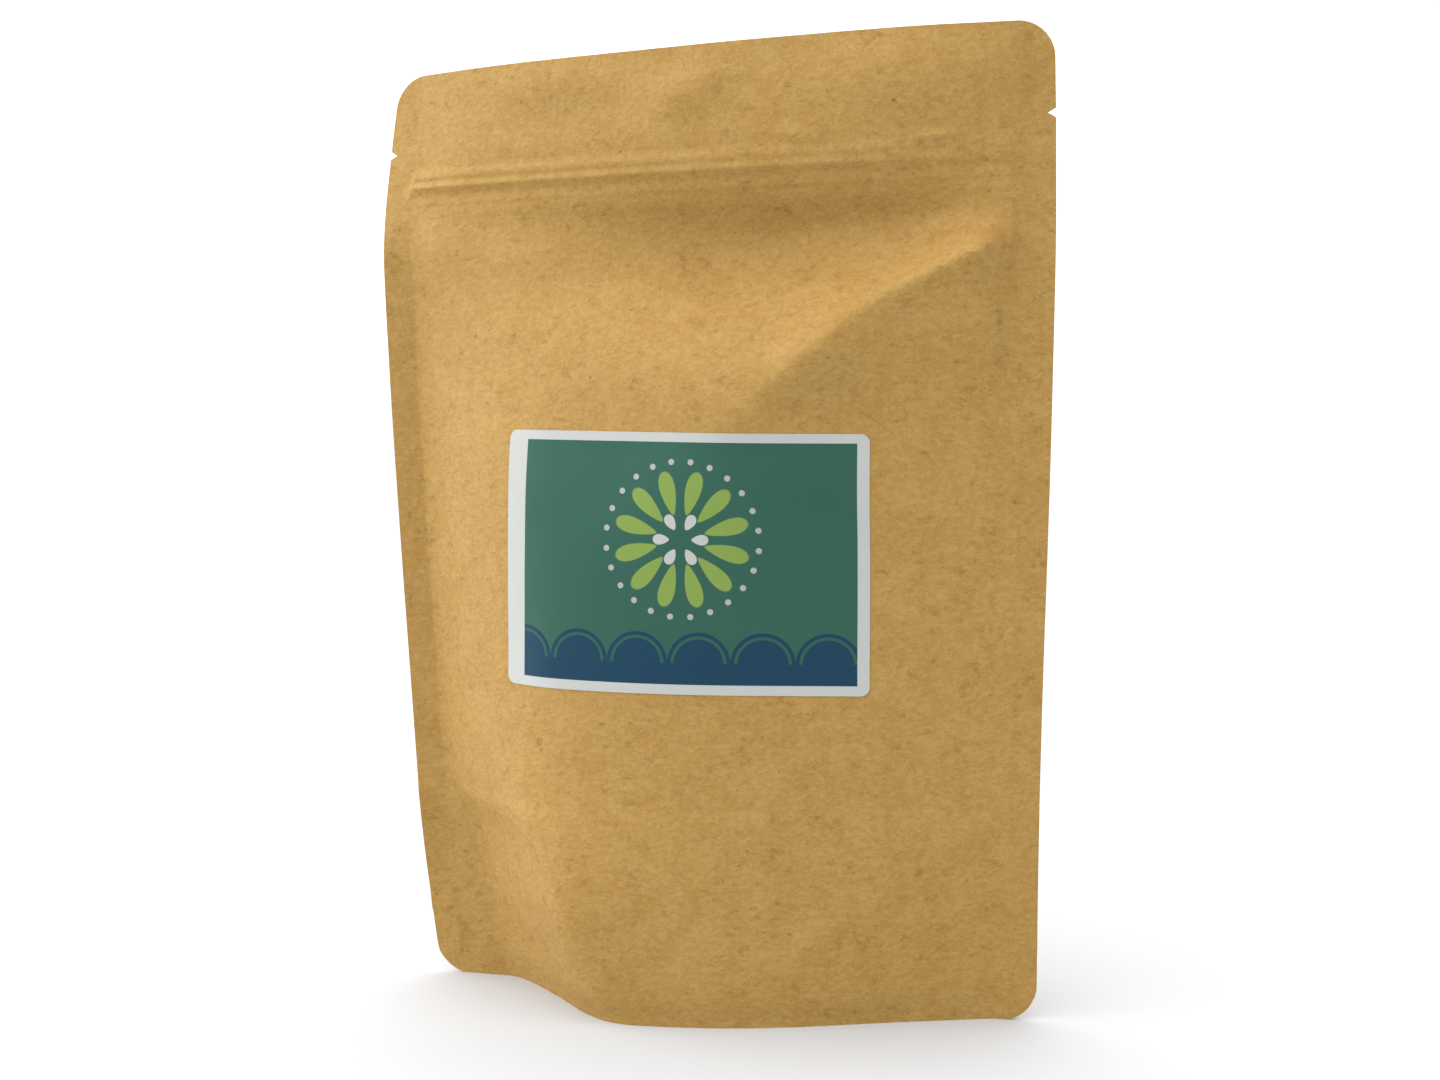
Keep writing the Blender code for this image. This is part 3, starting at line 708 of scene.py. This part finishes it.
def leaf(ring, radius, count, length, width, round_about, turned):
    """1 inside the petals of a rosette: ring and round_about are the distance and the angle from its middle."""
    place = (round_about / (2 * math.pi) + turned) * count
    sideways = (place - place.floor() - 0.5) * (2 * math.pi * radius / count)
    along = ring - radius
    off = (sideways * (1 / width)) ** 2 + (along * (1 / length)) ** 2
    return off.step(1.12, 0.88)


def label_look():
    """Coated label paper with a printed field of scallops under a rosette of petals."""
    look = Look(bpy.data.materials.new("printed_label"))
    tone = colours()
    x, up = look.flat_place()
    place = look.object_place()
    inside = (x - PRINT_RIGHT).abs().step(0.04520, 0.04505) * (up - 0.0001).abs().step(0.03200, 0.03185)
    edge = up + 0.0190
    scallop = (x + 0.2) * (1 / SCALLOP_WIDTH)
    scallop = (scallop - scallop.floor() - 0.5) * SCALLOP_WIDTH
    hill = (scallop ** 2 + (up + SCALLOPS_DOWN) ** 2) ** 0.5
    deep = 1 - (1 - hill.step(0.00835, 0.00820)) * edge.step(-0.0072, -0.0070)
    rim = hill.step(0.00640, 0.00660) * hill.step(0.00740, 0.00720) * (up + SCALLOPS_DOWN).step(0.0, 0.0002)
    middle_x, middle_up = x - PRINT_RIGHT, up - ROSETTE_UP
    ring = (middle_x ** 2 + middle_up ** 2) ** 0.5
    angle = middle_up.math("ARCTAN2", middle_x)
    petals = leaf(ring, 0.0125, 12, 0.0058, 0.0020, angle, 0.0)
    inner = leaf(ring, 0.0052, 6, 0.0022, 0.0013, angle, 0.25)
    dots = leaf(ring, 0.0205, 24, 0.0008, 0.0008, angle, 0.0)
    shade = look.noise(place, 26.0, 2.0).step(0.3, 0.7)
    field = look.mix(0.35 * shade, tuple(tone.print_field), tuple(c * 1.25 for c in tone.print_field))
    printed = look.mix(deep, field, tuple(tone.print_deep))
    printed = look.mix(rim, printed, tuple(tone.print_field))
    printed = look.mix(petals, printed, tuple(tone.print_bright))
    printed = look.mix(inner, printed, tuple(tone.label_paper))
    printed = look.mix(dots, printed, tuple(c * 0.8 for c in tone.label_paper))
    grain = look.noise(place, 2200.0, 2.0, 0.6)
    printed = look.mix(0.10 * grain, printed, (0.10, 0.16, 0.14))
    colour = look.mix(inside, tuple(tone.label_paper), printed)
    return look.surface(base_color=colour, roughness=0.42 + 0.10 * grain, specular_ior_level=0.16,
                        normal=look.bump(grain, 0.12, 0.0001))


def zip_look(name):
    """Smooth translucent-looking polyethylene with faint draw lines along the strip."""
    look = Look(bpy.data.materials.new(name))
    lines = look.noise(look.object_place((1.0, 60.0, 60.0)), 30.0, 2.0)
    colour = look.mix(0.2 * lines, tuple(colours().zip_plastic), (0.66, 0.67, 0.64))
    return look.surface(base_color=colour, roughness=0.30 + 0.12 * lines, normal=look.bump(lines, 0.1, 0.0001))


def weed_look(name):
    """Dry, crumpled seaweed: dark green with paler and browner streaks, and a wrinkled skin."""
    look = Look(bpy.data.materials.new(name))
    place = look.object_place()
    streaks = look.noise(place, 160.0, 4.0, 0.65)
    patches = look.noise(place, 40.0, 3.0)
    colour = look.mix(streaks.step(0.35, 0.70), tuple(colours().dry_weed), (0.19, 0.27, 0.07))
    colour = look.mix(0.7 * patches.step(0.55, 0.75), colour, (0.13, 0.10, 0.04))
    return look.surface(base_color=colour, roughness=0.72 + 0.18 * streaks,
                        normal=look.bump(streaks, 0.8, 0.0012))


# Operators

class POUCH_OT_panels(bpy.types.Operator):
    """Makes the front and the back panel of folded kraft paper"""

    bl_idname = "pouch.panels"
    bl_label = "Kraft panels"

    def execute(self, context):
        panel_piece("front_panel_paper", front_inside, front_details, "front_panel")
        panel_piece("back_panel_paper", back_inside, back_details, "back_panel")
        return {"FINISHED"}


class POUCH_OT_gusset(bpy.types.Operator):
    """Makes the folded sheet between the panels' lower edges"""

    bl_idname = "pouch.gusset"
    bl_label = "Bottom gusset"

    def execute(self, context):
        half_width = HALF - GUSSET_INSET
        reach = GUSSET_DEPTH - FLOOR_CLEAR
        step = sizes().mesh_step
        bm = flat_grid(spaced(-half_width, half_width, step), spaced(-reach, 0.0, step) + spaced(0.0, reach, step)[1:])
        round_corners(bm, half_width, -reach, reach, sizes().corner_radius)
        keep_flat_places(bm)
        thick_sheet(bm, sizes().gusset_paper, gusset_places)
        to_piece("gusset_paper", bm, kraft_look("kraft_paper_gusset"), "root", "bottom_gusset", "bottom_gusset")
        return {"FINISHED"}


class POUCH_OT_label(bpy.types.Operator):
    """Makes the printed label that lies on the front panel"""

    bl_idname = "pouch.label"
    bl_label = "Front label"

    def execute(self, context):
        half_width, half_height = sizes().label_width / 2, sizes().label_height / 2
        bm = flat_grid(spaced(-half_width, half_width, LABEL_STEP), spaced(-half_height, half_height, LABEL_STEP))
        round_corners(bm, half_width, -half_height, half_height, sizes().label_corner)
        keep_flat_places(bm)

        def place(x, up, outward):
            turn = math.radians(LABEL_TURN)
            z = LABEL_CENTRE_Z + x * math.sin(turn) + up * math.cos(turn)
            level = x * math.cos(turn) - up * math.sin(turn)
            u = flat_u(LABEL_CENTRE_X + level, z)
            return formed(front_inside, front_details, u, z, outward + sizes().paper + LABEL_LIFT)

        thick_sheet(bm, sizes().label_thick, place)
        to_piece("label_paper", bm, label_look(), "root", "front_label", "front_label")
        return {"FINISHED"}


class POUCH_OT_inside(bpy.types.Operator):
    """Gives the zip's strips and the dried filling their finishes"""

    bl_idname = "pouch.inside"
    bl_label = "Zip and filling"

    def execute(self, context):
        for node in ("zip_track_front", "zip_track_back"):
            zip_piece(node)
        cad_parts["dried_gutweed"].material_slots[0].material = weed_look("dry_weed")
        return {"FINISHED"}


class POUCH_OT_stage(bpy.types.Operator):
    """Sets the plain floor, the window, the surround and the camera"""

    bl_idname = "pouch.stage"
    bl_label = "Stage, lights and camera"

    def execute(self, context):
        floor()
        soft_light("left_window", WINDOW_PLACE, WINDOW_AIM, WINDOW_SIZE, WINDOW_POWER)
        context.scene.world = surround()
        camera = bpy.data.cameras.new("camera")
        camera.sensor_fit = "HORIZONTAL"
        camera.sensor_width = 36.0
        camera.lens = CAMERA_LENS
        camera.clip_start = 0.01
        holder = bpy.data.objects.new("camera", camera)
        turned = (Matrix.Rotation(math.radians(CAMERA_AZIMUTH), 4, "Z")
                  @ Matrix.Rotation(math.radians(90.0 - CAMERA_DIP), 4, "X")
                  @ Matrix.Rotation(math.radians(CAMERA_ROLL), 4, "Z"))
        holder.matrix_world = Matrix.Translation(CAMERA_PLACE) @ turned
        context.scene.collection.objects.link(holder)
        context.scene.camera = holder
        context.scene.view_settings.view_transform = "Standard"
        return {"FINISHED"}


def soft_light(name, place, aim, size, power):
    light = bpy.data.lights.new(name, "AREA")
    light.shape = "RECTANGLE"
    light.size, light.size_y = size
    light.energy = power
    holder = bpy.data.objects.new(name, light)
    way = Vector(aim) - Vector(place)
    holder.matrix_world = Matrix.Translation(place) @ way.to_track_quat("-Z", "Y").to_matrix().to_4x4()
    bpy.context.scene.collection.objects.link(holder)


def surround():
    """White light from all round, strongest from above and a little stronger from the left than from the right."""
    sky = Look(bpy.data.worlds.new("studio"), "Background")
    way = sky.node("ShaderNodeTexCoord", out="Generated")
    lit = sky.node("ShaderNodeVectorMath", {"operation": "DOT_PRODUCT"}, {0: way, 1: LIT_FROM}, out="Value")
    return sky.surface(color=(1.0, 1.0, 1.0, 1.0), strength=(SURROUND * (1 + lit)).math("MAXIMUM", 0.08))


def floor():
    """A plain pale floor that meets the surround far off."""
    bm = bmesh.new()
    bmesh.ops.create_circle(bm, cap_ends=True, segments=FLOOR_SIDES, radius=FLOOR_RADIUS)
    mesh = bpy.data.meshes.new("floor")
    bm.to_mesh(mesh)
    bm.free()
    look = Look(bpy.data.materials.new("floor_paper"))
    mesh.materials.append(look.surface(base_color=(*colours().stage, 1.0), roughness=0.9))
    sheet = bpy.data.objects.new("floor", mesh)
    bpy.context.scene.collection.objects.link(sheet)
    return sheet


class POUCH_PT_panel(bpy.types.Panel):
    """The pouch's sizes, colours and build steps in the 3D view's sidebar"""

    bl_idname = "POUCH_PT_panel"
    bl_label = "Kraft pouch"
    bl_space_type = "VIEW_3D"
    bl_region_type = "UI"
    bl_category = "Pouch"

    def draw(self, context):
        for group in (context.scene.pouch_sizes, context.scene.pouch_colours):
            box = self.layout.box()
            for name in group.__annotations__:
                box.prop(group, name)
        for step in STEPS:
            self.layout.operator(step.bl_idname)


STEPS = (POUCH_OT_panels, POUCH_OT_gusset, POUCH_OT_label, POUCH_OT_inside, POUCH_OT_stage)
CLASSES = (PouchSizes, PouchColours, *STEPS, POUCH_PT_panel)


def register():
    for made in CLASSES:
        bpy.utils.register_class(made)
    bpy.types.Scene.pouch_sizes = bpy.props.PointerProperty(type=PouchSizes)
    bpy.types.Scene.pouch_colours = bpy.props.PointerProperty(type=PouchColours)


def unregister():
    del bpy.types.Scene.pouch_colours
    del bpy.types.Scene.pouch_sizes
    for made in reversed(CLASSES):
        bpy.utils.unregister_class(made)


def main():
    register()
    bpy.ops.pouch.panels()
    bpy.ops.pouch.gusset()
    bpy.ops.pouch.label()
    bpy.ops.pouch.inside()
    bpy.ops.pouch.stage()


if __name__ == "__main__":
    main()
